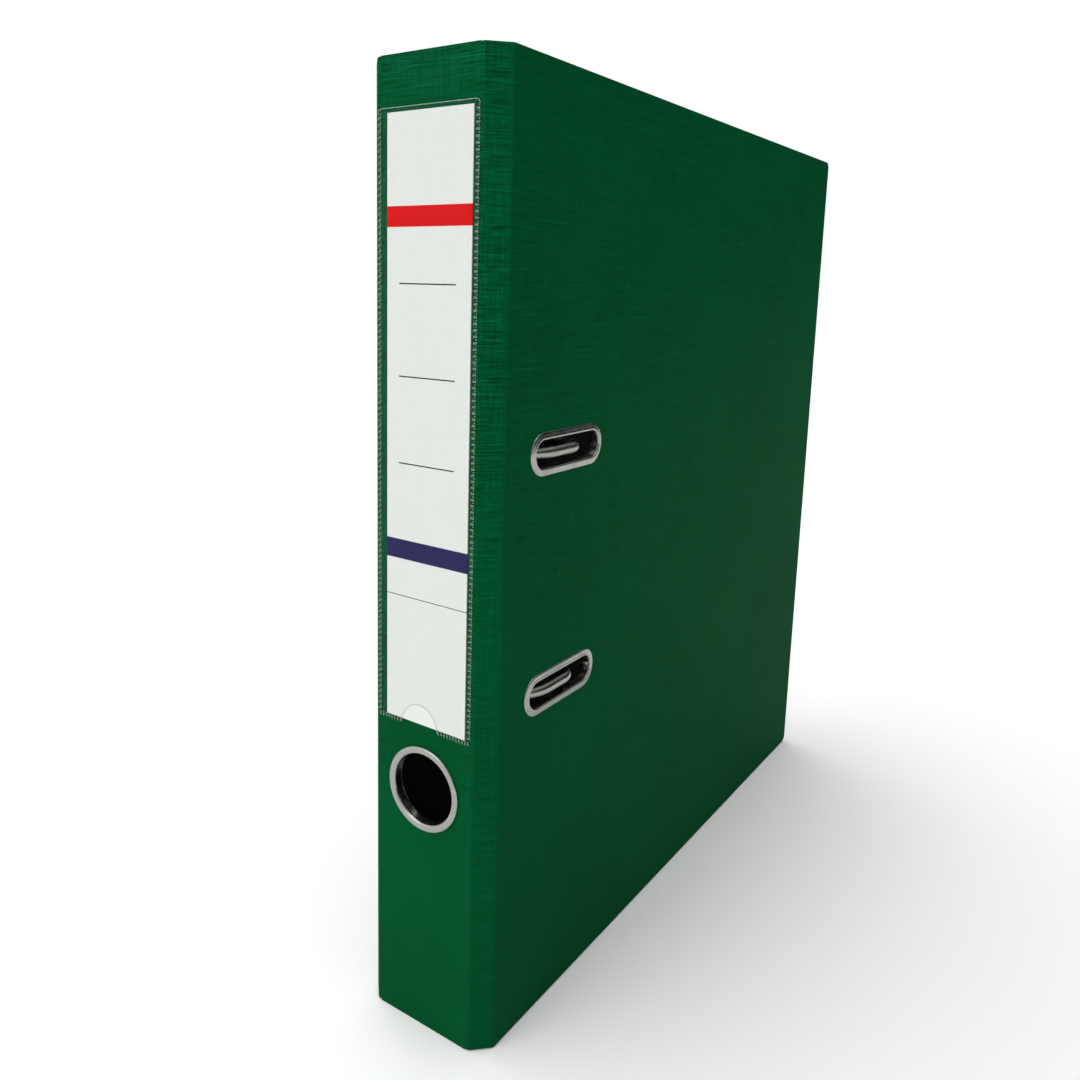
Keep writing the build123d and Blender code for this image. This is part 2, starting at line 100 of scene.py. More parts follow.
def finish_mesh(bm, name, sharp=40):
    """Turns a bmesh into an object with smooth faces and sharp edges where it turns sharply."""
    bmesh.ops.recalc_face_normals(bm, faces=bm.faces)
    limit = math.radians(sharp)
    for face in bm.faces:
        face.smooth = True
    for edge in bm.edges:
        edge.smooth = len(edge.link_faces) == 2 and edge.calc_face_angle(0) < limit
    mesh = bpy.data.meshes.new(name)
    bm.to_mesh(mesh)
    bm.free()
    return new_object(name, mesh)


def weighted(obj):
    """Keeps flat faces flat beside their rounded edges."""
    modifier = obj.modifiers.new("weighted", "WEIGHTED_NORMAL")
    modifier.keep_sharp = True
    modifier.weight = 100


def prism(outline, low, high):
    """A bmesh prism over a closed outline in XY."""
    bm = bmesh.new()
    base = bm.faces.new([bm.verts.new((x, y, low)) for x, y in outline])
    top = bmesh.ops.extrude_face_region(bm, geom=[base])
    moved = [v for v in top["geom"] if isinstance(v, bmesh.types.BMVert)]
    bmesh.ops.translate(bm, verts=moved, vec=(0, 0, high - low))
    return bm


def at(values, target):
    return all(abs(v - target) < TOUCH for v in values)


def is_level(edge):
    """True for an edge with both ends at one height."""
    return abs(edge.verts[0].co.z - edge.verts[1].co.z) < TOUCH


def round_edges(bm, edges, offset, steps):
    bmesh.ops.bevel(
        bm, geom=edges, offset=offset, segments=steps, profile=0.5, affect="EDGES", clamp_overlap=False
    )


# ---------------------------------------------------------------- case skins
def mirror_if(back, points):
    """Points of the front side, or the same on the back side."""
    return [(-x, y) for x, y in points] if back else points


def rounded_panel(name, outline, keep_sharp, free_end=False):
    """A panel over an outline, rounded at its top, its bottom and its free edge."""
    bm = prism(outline, 0, HEIGHT)
    if free_end:
        corners = [e for e in bm.edges if at([v.co.y for v in e.verts], FREE_Y) and is_level(e)]
        round_edges(bm, corners, CORNER, CORNER_STEPS)
    rim = []
    for e in bm.edges:
        if keep_sharp(e):
            continue
        heights = [v.co.z for v in e.verts]
        at_end = at(heights, 0) or at(heights, HEIGHT)
        sides = [f.normal.normalized() for f in e.link_faces]
        turns = len(sides) == 2 and sides[0].angle(sides[1]) > math.radians(RIM_TURN)
        if turns and (at_end or free_end):
            rim.append(e)
    round_edges(bm, rim, EDGE, EDGE_STEPS)
    made = finish_mesh(bm, name, sharp=PANEL_SHARP)
    weighted(made)
    return made


def cut(obj, tool):
    """Takes the tool's shape out of obj, for good."""
    modifier = obj.modifiers.new("cut", "BOOLEAN")
    modifier.operation = "DIFFERENCE"
    modifier.solver = "EXACT"
    modifier.object = tool
    keep = [m for m in obj.modifiers if m.name == "weighted"]
    for m in keep:
        m.show_viewport = False
    depsgraph = bpy.context.evaluated_depsgraph_get()
    mesh = bpy.data.meshes.new_from_object(obj.evaluated_get(depsgraph))
    obj.modifiers.remove(modifier)
    obj.data = mesh
    for m in keep:
        m.show_viewport = True
    bpy.data.objects.remove(tool)


def oblong(length, width, steps=12):
    """Outline of an oblong along the first axis, about its middle."""
    r = width / 2
    half = length / 2 - r
    points = []
    for side, start in ((1, -90), (-1, 90)):
        for k in range(steps + 1):
            a = math.radians(start + 180 * k / steps)
            points.append((side * half + r * math.cos(a), r * math.sin(a)))
    return points


def cutter(points, to_world):
    """A closed prism for cutting. to_world takes a point of the outline and a side, -1 or 1."""
    bm = bmesh.new()
    near = [bm.verts.new(to_world(u, v, -1)) for u, v in points]
    far = [bm.verts.new(to_world(u, v, 1)) for u, v in points]
    bm.faces.new(near)
    bm.faces.new(list(reversed(far)))
    count = len(points)
    for k in range(count):
        bm.faces.new((near[k], far[k], far[(k + 1) % count], near[(k + 1) % count]))
    return finish_mesh(bm, "cutter")


def node_middle(node):
    low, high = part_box(node)
    return (low + high) / 2


def make_spine():
    half = FLAT_X - CREASE_REACH
    outline = [(-half, SPINE_Y), (half, SPINE_Y), (half, SPINE_Y + BODY), (-half, SPINE_Y + BODY)]
    spine = rounded_panel("spine_skin", outline, lambda e: at([abs(v.co.x) for v in e.verts], half))
    middle = node_middle("finger_ring")
    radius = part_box("finger_ring")[1].x - RING_LAP
    turns = [k * math.tau / RING_POINTS for k in range(RING_POINTS)]
    ring = [(radius * math.cos(a), radius * math.sin(a)) for a in turns]
    cut(spine, cutter(ring, lambda u, v, side: (middle.x + u, SPINE_Y + CUT_REACH * side, middle.z + v)))
    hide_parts("spine_film", "spine_board")
    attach(spine, "spine")
    return spine


def make_strip(side, back):
    diagonal = math.sqrt(0.5)
    end = BEVEL / diagonal - CREASE_REACH

    def strip_point(along, depth):
        return (FLAT_X + (along - depth) * diagonal, SPINE_Y + (along + depth) * diagonal)

    def on_cut(e, sign=-1 if back else 1):
        spots = [(sign * v.co.x - FLAT_X + v.co.y - SPINE_Y) * diagonal for v in e.verts]
        return at(spots, CREASE_REACH) or at(spots, end)

    corners = [(CREASE_REACH, 0), (end, 0), (end, BODY), (CREASE_REACH, BODY)]
    outline = mirror_if(back, [strip_point(*c) for c in corners])
    strip = rounded_panel(side + "_strip_skin", outline, on_cut)
    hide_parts(side + "_joint_film", side + "_joint_board")
    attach(strip, side + "_joint")
    return strip


def make_cover(side, back):
    start = SPINE_Y + BEVEL + CREASE_REACH
    inside = SIDE_X - BODY
    outline = mirror_if(back, [(SIDE_X, start), (SIDE_X, FREE_Y), (inside, FREE_Y), (inside, start)])
    cover = rounded_panel(
        side + "_cover_skin", outline, lambda e: at([v.co.y for v in e.verts], start), free_end=True
    )
    if not back:
        for place in ("lower", "upper"):
            low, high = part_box(place + "_slot_eyelet")
            centre = (low + high) / 2
            shape = oblong(high.y - low.y - 2 * SLOT_LAP, high.z - low.z - 2 * SLOT_LAP)
            cut(cover, cutter(shape, lambda u, v, s, c=centre: (SIDE_X + CUT_REACH * s, c.y + u, c.z + v)))
    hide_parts(side + "_cover_film", side + "_cover_board")
    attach(cover, side + "_cover")
    return cover


def make_creases(side, back):
    """The two bent stretches of one side, from the spine to the strip and from there to the cover."""
    first = crease(side + "_crease_spine", back, (FLAT_X, SPINE_Y), 0)
    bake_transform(first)
    second = crease(side + "_crease_cover", back, (SIDE_X, SPINE_Y + BEVEL), CREASE_TURN)
    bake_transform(second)
    return [first, second]


def make_case(materials):
    made = [make_spine()]
    for side, back in (("front", False), ("back", True)):
        made += [make_strip(side, back), make_cover(side, back)]
        made += make_creases(side, back)
    for piece in made:
        piece.data.materials.clear()
        piece.data.materials.append(materials["film_back" if piece.name.startswith("back") else "film"])


def crease(name, back, corner, heading):
    """The bent stretch of the case at one crease, from a panel's heading to the next one's."""
    a, b = math.radians(heading), math.radians(heading + CREASE_TURN)
    half_turn = math.radians(CREASE_TURN / 2)
    before = Vector((math.cos(a), math.sin(a)))
    after = Vector((math.cos(b), math.sin(b)))
    inward = Vector((-before.y, before.x))
    inward_after = Vector((-after.y, after.x))
    corner = Vector(corner)
    centre = corner - before * BEND_RADIUS * math.tan(half_turn) + inward * BEND_RADIUS
    outer = [corner - before * CREASE_REACH]
    for k in range(CREASE_STEPS + 1):
        turn = math.radians(CREASE_TURN * k / CREASE_STEPS)
        outer.append(centre + (-inward * math.cos(turn) + before * math.sin(turn)) * BEND_RADIUS)
    outer.append(corner + after * CREASE_REACH)
    inner_corner = corner + (inward + inward_after).normalized() * BODY / math.cos(half_turn)
    points = outer + [
        outer[-1] + inward_after * BODY,
        inner_corner,
        outer[0] + inward * BODY,
    ]
    bm = prism(mirror_if(back, [tuple(p) for p in points]), 0, HEIGHT)
    ends = [tuple(outer[0]), tuple(points[-1]), tuple(outer[-1]), tuple(points[-3])]
    first = set(mirror_if(back, ends[:2]))
    last = set(mirror_if(back, ends[2:]))

    def among(e, pair):
        return all(any(abs(v.co.x - x) + abs(v.co.y - y) < TOUCH for x, y in pair) for v in e.verts)

    rim = [e for e in bm.edges if is_level(e) and not among(e, first) and not among(e, last)]
    round_edges(bm, rim, EDGE, EDGE_STEPS)
    return finish_mesh(bm, name, sharp=PANEL_SHARP)


# ---------------------------------------------------------------- materials
class Graph:
    """Short names for building the nodes of a material or a world."""

    def __init__(self, holder):
        holder.use_nodes = True
        self.holder = holder
        self.tree = holder.node_tree
        self.shader = self.tree.nodes.get("Principled BSDF")

    def node(self, kind, **values):
        made = self.tree.nodes.new(kind)
        for key, value in values.items():
            setattr(made, key, value)
        return made

    def link(self, source, target):
        self.tree.links.new(source, target)

    def math(self, operation, a, b=0.0, c=0.0, clamp=False):
        made = self.node("ShaderNodeMath", operation=operation, use_clamp=clamp)
        for socket, value in zip(made.inputs, (a, b, c)):
            if isinstance(value, (int, float)):
                socket.default_value = value
            else:
                self.link(value, socket)
        return made.outputs[0]

    def spot(self, kind="Object"):
        """Where a point is. Object coordinates are the row frame at rest."""
        return self.node("ShaderNodeTexCoord").outputs[kind]

    def place(self, kind="Object"):
        """The same as three separate numbers."""
        split = self.node("ShaderNodeSeparateXYZ")
        self.link(self.spot(kind), split.inputs[0])
        return split.outputs

    def vector(self, x, y, z=0.0):
        made = self.node("ShaderNodeCombineXYZ")
        for socket, value in zip(made.inputs, (x, y, z)):
            if isinstance(value, (int, float)):
                socket.default_value = value
            else:
                self.link(value, socket)
        return made.outputs[0]

    def noise(self, vector, scale=1.0, detail=2.0, roughness=0.5, offset=0.0):
        made = self.node("ShaderNodeTexNoise", noise_dimensions="3D")
        made.inputs["Scale"].default_value = scale
        made.inputs["Detail"].default_value = detail
        made.inputs["Roughness"].default_value = roughness
        if offset:
            move = self.node("ShaderNodeVectorMath", operation="ADD")
            self.link(vector, move.inputs[0])
            move.inputs[1].default_value = (offset, offset, offset)
            vector = move.outputs[0]
        self.link(vector, made.inputs["Vector"])
        return made.outputs["Fac"]

    def ramp(self, value, low, high, to_low=0.0, to_high=1.0):
        made = self.node("ShaderNodeMapRange")
        self.link(value, made.inputs["Value"])
        for key, number in (("From Min", low), ("From Max", high), ("To Min", to_low), ("To Max", to_high)):
            made.inputs[key].default_value = number
        return made.outputs[0]

    def mix(self, factor, first, second):
        made = self.node("ShaderNodeMix", data_type="RGBA")
        if isinstance(factor, (int, float)):
            made.inputs["Factor"].default_value = factor
        else:
            self.link(factor, made.inputs["Factor"])
        for socket, value in ((made.inputs[6], first), (made.inputs[7], second)):
            if isinstance(value, tuple):
                socket.default_value = (*value, 1.0)
            else:
                self.link(value, socket)
        return made.outputs[2]

    def bump(self, height, strength, distance):
        made = self.node("ShaderNodeBump")
        made.inputs["Strength"].default_value = strength
        made.inputs["Distance"].default_value = distance
        self.link(height, made.inputs["Height"])
        self.link(made.outputs["Normal"], self.shader.inputs["Normal"])

    def set(self, **values):
        for key, value in values.items():
            socket = self.shader.inputs[key.replace("_", " ")]
            if isinstance(value, tuple) and len(value) == 3:
                socket.default_value = (*value, 1.0)
            elif isinstance(value, (int, float)):
                socket.default_value = value
            else:
                self.link(value, socket)
        return self.holder


def new_graph(name):
    return Graph(bpy.data.materials.new(name))


FILM_GREEN = (0.0003, 0.077, 0.0225)
FILM_GREEN_DEEP = (0.0003, 0.066, 0.0180)
# painted highlight: the lighter green of the raised threads
FILM_GREEN_PAINTED_HIGHLIGHT = (0.0015, 0.150, 0.062)
# painted shade: the darker green in the grooves between threads
FILM_GREEN_PAINTED_GROOVE_SHADE = (0.0002, 0.030, 0.0070)
THREADS = 2400.0        # threads of the embossing in a metre
THREAD_RUN = 60.0       # how often a thread changes along its length, in a metre
SLUBS = 1300.0          # the same for the few bold threads
SLUB_RUN = 42.0
GROOVES = 1900.0        # the same for the grooves between threads, sunk in the bump and darkened with painted shade
GROOVE_RUN = 85.0
SPINE_TOP = (0.29, 0.31)                            # heights between which the plain middle ends
SPINE_SIDE = (14.0 * MM, 19.0 * MM)                 # the same across the spine
FADE = (0.03, 0.25)                                 # heights between which the embossing grows


def threads_along(g, along, across, count, run, low, high, offset):
    """Uneven threads that run along one direction: 1 on a thread, 0 between."""
    spot = g.vector(g.math("MULTIPLY", along, run), g.math("MULTIPLY", across, count))
    return g.ramp(g.noise(spot, detail=1.0, offset=offset), low, high)


def linen_film(name, side):
    """Green film with an embossed linen of uneven upright and level threads, with painted highlights on the
    threads and painted shade in the grooves between them.
    """
    g = new_graph(name)
    x, y, z = g.place()
    across = g.math("ADD", y, g.math("MULTIPLY", x, side))
    upright = threads_along(g, z, across, THREADS, THREAD_RUN, 0.46, 0.66, 0.0)
    level = threads_along(g, across, z, THREADS, THREAD_RUN, 0.46, 0.66, 7.3)
    slub_up = threads_along(g, z, across, SLUBS, SLUB_RUN, 0.64, 0.76, 13.1)
    slub_level = threads_along(g, across, z, SLUBS, SLUB_RUN, 0.62, 0.74, 21.7)
    groove_up = threads_along(g, z, across, GROOVES, GROOVE_RUN, 0.52, 0.66, 31.9)
    groove_level = threads_along(g, across, z, GROOVES, GROOVE_RUN, 0.50, 0.64, 43.1)
    grooves = g.math("MAXIMUM", g.math("MULTIPLY", groove_up, 0.6), groove_level)
    weave = g.math("MAXIMUM", upright, level)
    slubs = g.math("MAXIMUM", slub_up, slub_level)
    # the spine's film is smoother on its middle, up to the pocket's top
    off_spine = g.ramp(y, SPINE_Y + 0.2 * MM, SPINE_Y + 0.8 * MM)
    top = g.ramp(z, *SPINE_TOP)
    edge = g.ramp(g.math("ABSOLUTE", x), *SPINE_SIDE)
    embossed = g.math("MAXIMUM", g.math("MAXIMUM", off_spine, top), edge)
    # and strongest on the bevels and towards the top; this also sets how much painted highlight and painted
    # groove shade show, less on the covers' faces, which get less light
    bevel = g.ramp(g.math("ABSOLUTE", x), SIDE_X - 2 * MM, SIDE_X - 0.2 * MM, 1.2, 0.45)
    strength = g.math("MULTIPLY", g.ramp(embossed, 0.0, 1.0, 0.2, 1.0), bevel)
    strength = g.math("MULTIPLY", strength, g.ramp(z, *FADE, 0.3, 1.0))
    patches = g.noise(g.vector(across, z), scale=16.0, detail=3.0)
    strength = g.math("MULTIPLY", strength, g.ramp(patches, 0.35, 0.65, 0.6, 1.25))
    lines = g.math("ADD", g.math("MULTIPLY", weave, 0.36), g.math("MULTIPLY", slubs, 0.42))
    # painted highlight: the threads are coloured lighter where light would catch them
    painted_highlight = g.math("MULTIPLY", lines, strength, clamp=True)
    shade = g.mix(g.ramp(patches, 0.35, 0.65), FILM_GREEN, FILM_GREEN_DEEP)
    colour = g.mix(painted_highlight, shade, FILM_GREEN_PAINTED_HIGHLIGHT)
    # painted shade: the grooves are coloured darker, as if shaded, besides being sunk in the bump
    groove_depth_and_painted_shade = g.math("MULTIPLY", grooves, strength)
    colour = g.mix(g.math("MULTIPLY", groove_depth_and_painted_shade, 0.6, clamp=True), colour, FILM_GREEN_PAINTED_GROOVE_SHADE)
    relief = g.math("SUBTRACT", g.math("MULTIPLY", g.math("ADD", weave, slubs), strength), groove_depth_and_painted_shade)
    g.bump(relief, 0.4, 0.05 * MM)
    return g.set(Base_Color=colour, Roughness=g.ramp(painted_highlight, 0.0, 1.0, 0.6, 0.5), Specular_IOR_Level=0.012)


def nickel(name, tint, rough, cloudy=1.0):
    g = new_graph(name)
    spot = g.spot()
    cloud = g.noise(spot, scale=140.0, detail=4.0)
    grain = g.noise(spot, scale=2400.0, detail=2.0)
    clouds = g.ramp(cloud, 0.3, 0.7, rough - 0.06 * cloudy, rough + 0.1 * cloudy)
    roughness = g.math("ADD", clouds, g.ramp(grain, 0.3, 0.7, -0.03, 0.03))
    colour = g.mix(g.ramp(cloud, 0.35, 0.75), tint, tuple(c * (1 - 0.1 * cloudy) for c in tint))
    g.bump(grain, 0.08, 0.02 * MM)
    return g.set(Base_Color=colour, Roughness=roughness, Metallic=1.0)


def moulded(name, colour, rough):
    g = new_graph(name)
    spot = g.spot()
    grain = g.noise(spot, scale=1800.0, detail=2.0)
    cloud = g.noise(spot, scale=60.0, detail=3.0)
    shade = g.mix(g.ramp(cloud, 0.35, 0.65), colour, tuple(c * 0.86 for c in colour))
    g.bump(grain, 0.12, 0.03 * MM)
    return g.set(Base_Color=shade, Roughness=g.ramp(grain, 0.3, 0.7, rough - 0.06, rough + 0.06))


def paper(name, colour, fleck):
    g = new_graph(name)
    spot = g.spot()
    fibres = g.noise(spot, scale=900.0, detail=5.0, roughness=0.7)
    flecks = g.noise(spot, scale=420.0, detail=2.0, offset=3.1)
    shade = g.mix(g.ramp(flecks, 0.6, 0.72), colour, fleck)
    g.bump(fibres, 0.25, 0.03 * MM)
    return g.set(Base_Color=shade, Roughness=0.85, Specular_IOR_Level=0.25)


CARD_WHITE = (0.73, 0.76, 0.72)
CARD_RED = (0.63, 0.004, 0.001)
CARD_NAVY = (0.019, 0.019, 0.085)
CARD_INK = (0.02, 0.022, 0.022)

# Heights on the card as shares of its height, and half widths
RED_BAND = (0.842, 3.05 * MM)
NAVY_BAND = (0.301, 3.15 * MM)
WRITING_LINES = (0.738, 0.590, 0.447)
LINE_HALF = 0.2 * MM
LINE_REACH = 11.0 * MM
LINE_SHIFT = 0.4 * MM
RULE = (0.220, 0.12 * MM)


def label_card(name):
    """White card with a red band, three writing lines, a navy band and a thin rule."""
    g = new_graph(name)
    x, _, z = g.place()
    low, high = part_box("spine_label")
    height = high.z - low.z
    middle = (low.x + high.x) / 2

    def band(centre, half, reach=None):
        rise = g.math("ABSOLUTE", g.math("SUBTRACT", z, low.z + centre * height))
        inside = g.math("LESS_THAN", rise, half)
        if reach is None:
            return inside
        aside = g.math("ABSOLUTE", g.math("SUBTRACT", x, middle - LINE_SHIFT))
        return g.math("MULTIPLY", inside, g.math("LESS_THAN", aside, reach))

    grain = g.noise(g.spot(), scale=1200.0, detail=4.0)
    colour = g.mix(g.ramp(grain, 0.3, 0.7), CARD_WHITE, tuple(c * 0.965 for c in CARD_WHITE))
    colour = g.mix(band(*RED_BAND), colour, CARD_RED)
    colour = g.mix(band(*NAVY_BAND), colour, CARD_NAVY)
    for centre in WRITING_LINES:
        colour = g.mix(band(centre, LINE_HALF, LINE_REACH), colour, CARD_INK)
    colour = g.mix(band(*RULE), colour, CARD_INK)
    g.bump(grain, 0.12, 0.02 * MM)
    return g.set(Base_Color=colour, Roughness=0.5, Specular_IOR_Level=0.02)


def clear_film(name, colour, alpha, rough):
    g = new_graph(name)
    spot = g.spot()
    waves = g.noise(spot, scale=30.0, detail=2.0)
    g.bump(waves, 0.15, 0.2 * MM)
    g.holder.surface_render_method = "BLENDED"
    return g.set(Base_Color=colour, Roughness=rough, Alpha=alpha, Specular_IOR_Level=0.03)


def make_materials():
    return {
        "film": linen_film("film", 1.0),
        "film_back": linen_film("film_back", -1.0),
        "nickel": nickel("nickel", (0.345, 0.355, 0.33), 0.24),
        "plated_steel": nickel("plated_steel", (0.50, 0.50, 0.49), 0.3, cloudy=0.25),
        "spring": nickel("spring", (0.20, 0.22, 0.27), 0.3),
        "roller": moulded("roller", (0.62, 0.60, 0.55), 0.35),
        "black_plastic": moulded("black_plastic", (0.012, 0.012, 0.013), 0.4),
        # near-black liner: painted shade for the dark inside of the file, seen through the ring and slots
        "liner": paper("liner", (0.012, 0.0125, 0.0125), (0.02, 0.02, 0.02)),
        "greyboard": paper("greyboard", (0.30, 0.28, 0.25), (0.16, 0.15, 0.14)),
        "card": label_card("card"),
        "pocket_film": clear_film("pocket_film", (0.22, 0.18, 0.26), 0.022, 0.4),
        # the welds' lighter grey is painted highlight on the raised studs of the clear film
        "pocket_weld_highlight": clear_film("pocket_weld_highlight", (0.30, 0.40, 0.33), 0.4, 0.3),
        # the edge lines' light grey is painted highlight along the clear film's cut edges
        "pocket_edge": clear_film("pocket_edge", (0.50, 0.54, 0.50), 0.5, 0.3),
    }


SLOT_MATERIALS = {
    "greyboard": "greyboard",
    "liner_paper": "liner",
    "nickel": "plated_steel",
    "spring_steel": "spring",
    "roller_plastic": "roller",
    "black_plastic": "black_plastic",
    "label_card": "card",
    "clear_film": "pocket_film",
    "green_film": "film",
}


def dress_cad(materials):
    for row in frame["record"]["subparts"]:
        node = row["node"]
        name = SLOT_MATERIALS[row["material_slot"]]
        if "eyelet" in node or "ring" in node or node == "arch_wire":
            name = "nickel"
        mesh = frame["nodes"][node].data
        mesh.materials.clear()
        mesh.materials.append(materials[name])


# ---------------------------------------------------------------- the pocket's welds and edges
STUD_PITCH = 1.85 * MM
STUD_DEPTH = 0.16 * MM
STUD_TOP = 0.62                                     # of its foot's size
STUD_HALF = (0.62 * MM, 0.36 * MM)
SMALL_STUD_HALF = (0.3 * MM, 0.2 * MM)
SMALL_STUD_ASIDE = 0.28 * MM
BOTTOM_STUD_HALF = (0.27 * MM, 0.7 * MM)
BOTTOM_STUD_PITCH = STUD_PITCH * 0.62
BOTTOM_STUD_RISE = 0.2 * MM
LEFT_LEAN = 0.34 * MM
BOTTOM_LEAN = -0.2 * MM
WELD = 1.4 * MM                                     # width of a side weld
WELD_START = 1.2 * MM                               # above the pocket's lower edge
POCKET_LEFT = 0.4 * MM                              # from the pocket's side to the bottom weld
POCKET_RIGHT = 0.3 * MM
TOP_EDGE_RISE = 0.15 * MM
TOP_EDGE = (0.18 * MM, 0.1 * MM)                    # width and depth of the raised line
TOP_LEFT_END = ((0.1, 1.5), (0.35, 0.4), (1.3, 0.0))        # in from the side and down, in millimetres
TOP_RIGHT_END = ((1.5, 0.0), (0.5, 0.3), (0.15, 1.2))
NOTCH_EDGE = (0.16 * MM, 0.06 * MM)
NOTCH = 7.4 * MM                                    # radius
NOTCH_PLACE = -1.6 * MM
NOTCH_STEPS = 32


def stud(bm, x, z, half, lean, face):
    """One embossed mark of a weld: a low block with sloping sides."""
    half_x, half_z = half
    rows = []
    for grow, y in ((1.0, face), (STUD_TOP, face - STUD_DEPTH)):
        rows.append([
            bm.verts.new((x + u * half_x * grow, y, z + v * half_z * grow + u * grow * lean))
            for u, v in ((-1, -1), (1, -1), (1, 1), (-1, 1))
        ])
    bm.faces.new(rows[0])
    bm.faces.new(list(reversed(rows[1])))
    for k in range(4):
        n = (k + 1) % 4
        bm.faces.new((rows[0][k], rows[1][k], rows[1][n], rows[0][n]))


def ribbon(name, points, size, face):
    """A thin raised line along points in the plane of the spine. size is its width and depth."""
    width, depth = size
    section = ((1, face), (1, face - depth), (-1, face - depth), (-1, face))
    bm = bmesh.new()
    rings = []
    for k, (x, z) in enumerate(points):
        before = Vector(points[max(k - 1, 0)])
        after = Vector(points[min(k + 1, len(points) - 1)])
        along = (after - before).normalized()
        out = Vector((-along.y, along.x)) * width / 2
        rings.append([bm.verts.new((x + s * out.x, y, z + s * out.y)) for s, y in section])
    for one, two in zip(rings, rings[1:]):
        for k in range(4):
            bm.faces.new((one[k], one[(k + 1) % 4], two[(k + 1) % 4], two[k]))
    bm.faces.new(rings[0])
    bm.faces.new(list(reversed(rings[-1])))
    return finish_mesh(bm, name)


def make_pocket(materials):
    low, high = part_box("label_pocket")
    face = low.y
    made = []
    start = low.z + WELD_START
    for name, x, lean in (("left", low.x + WELD / 2, LEFT_LEAN), ("right", high.x - WELD / 2, 0.0)):
        bm = bmesh.new()
        for k in range(int((high.z - start) / STUD_PITCH)):
            z = start + (k + 0.5) * STUD_PITCH
            stud(bm, x, z, STUD_HALF, lean, face)
            stud(bm, x + SMALL_STUD_ASIDE, z + STUD_PITCH / 2, SMALL_STUD_HALF, lean, face)
        made.append(finish_mesh(bm, "weld_" + name))
    left = (low.x + POCKET_LEFT, NOTCH_PLACE - NOTCH)
    right = (NOTCH_PLACE + NOTCH, high.x - POCKET_RIGHT)
    for name, (near, far) in (("left", left), ("right", right)):
        bm = bmesh.new()
        count = int((far - near) / BOTTOM_STUD_PITCH)
        for k in range(count):
            x = near + (k + 0.5) * (far - near) / count
            stud(bm, x, low.z + BOTTOM_STUD_RISE, BOTTOM_STUD_HALF, BOTTOM_LEAN, face)
        made.append(finish_mesh(bm, "bottom_weld_" + name))
    rise = high.z + TOP_EDGE_RISE
    top = [(low.x + aside * MM, rise - drop * MM) for aside, drop in TOP_LEFT_END]
    top += [(high.x - aside * MM, rise - drop * MM) for aside, drop in TOP_RIGHT_END]
    made.append(ribbon("pocket_top_edge", top, TOP_EDGE, face))
    turns = [math.pi * k / NOTCH_STEPS for k in range(NOTCH_STEPS + 1)]
    arc = [(NOTCH_PLACE + NOTCH * math.cos(a), low.z + NOTCH * math.sin(a)) for a in turns]
    made.append(ribbon("pocket_notch_edge", arc, NOTCH_EDGE, face))
    for piece in made:
        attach(piece, "spine")
        # the welds and edge lines get the materials with painted highlight
        name = "pocket_edge" if "edge" in piece.name else "pocket_weld_highlight"
        piece.data.materials.append(materials[name])


# ---------------------------------------------------------------- eyelets
# Sections of the rims: distance out from the opening and height above the film, in millimetres.
SLOT_RIM = (
    (2.5, 0.0), (2.47, 0.12), (2.36, 0.2), (1.85, 0.33), (1.3, 0.42), (1.08, 0.46),
    (0.88, 0.56), (0.58, 0.6), (0.3, 0.55), (0.1, 0.38), (0.0, 0.1),
)
RING_RIM = (
    (2.5, 0.0), (2.48, 0.4), (2.38, 0.62), (2.1, 0.76), (1.7, 0.8), (0.95, 0.78),
    (0.6, 0.74), (0.32, 0.62), (0.1, 0.36), (0.0, 0.0),
)
BARREL = (
    (0.0, -2.5), (0.1, -2.9), (0.32, -3.12), (0.62, -3.2), (1.4, -3.17), (1.66, -3.04),
    (1.7, -2.84), (0.5, -2.8), (0.5, -0.05),
)
RIM = 2.5 * MM
RIM_SHARP = 55
SLOT_STEPS = 24                                     # in half a turn
RING_STEPS = 40


def swept_rim(name, path, rim, to_world):
    """Sweeps a section round an opening. path holds the points of its edge, each with its way out."""
    bm = bmesh.new()
    section = rim + BARREL
    rings = [
        [bm.verts.new(to_world(a + u * MM * p, b + u * MM * q, v * MM)) for u, v in section]
        for (a, b), (p, q) in path
    ]
    for k, ring in enumerate(rings):
        following = rings[(k + 1) % len(rings)]
        for n in range(len(section)):
            m = (n + 1) % len(section)
            bm.faces.new((ring[n], ring[m], following[m], following[n]))
    return finish_mesh(bm, name, sharp=RIM_SHARP)


def opening(length, width, steps):
    """Points of an oblong or round opening's edge, each with its way out."""
    r = width / 2
    half = length / 2 - r
    path = []
    for side, start in ((1, -90), (-1, 90)):
        for k in range(steps + (1 if half > 0 else 0)):
            a = math.radians(start + 180 * k / steps)
            way = (math.cos(a), math.sin(a))
            path.append(((side * half + r * way[0], r * way[1]), way))
    return path


def make_eyelets(materials):
    made = []
    for place in ("lower", "upper"):
        low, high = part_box(place + "_slot_eyelet")
        c = (low + high) / 2
        path = opening(high.y - low.y - 2 * RIM, high.z - low.z - 2 * RIM, SLOT_STEPS)
        rim = swept_rim(
            place + "_slot_rim", path, SLOT_RIM, lambda a, b, h, c=c: (SIDE_X + h, c.y + a, c.z + b)
        )
        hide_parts(place + "_slot_eyelet")
        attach(rim, "front_cover")
        made.append(rim)
    low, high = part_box("finger_ring")
    c = (low + high) / 2
    size = high.x - low.x - 2 * RIM
    path = opening(size, size, RING_STEPS)
    ring = swept_rim("finger_rim", path, RING_RIM, lambda a, b, h: (c.x + a, SPINE_Y - h, c.z + b))
    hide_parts("finger_ring")
    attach(ring, "spine")
    made.append(ring)
    for rim in made:
        rim.data.materials.append(materials["nickel"])


# ---------------------------------------------------------------- floor, light, camera
FLOOR_HALF = 4.0
FLOOR_DROP = 0.2 * MM


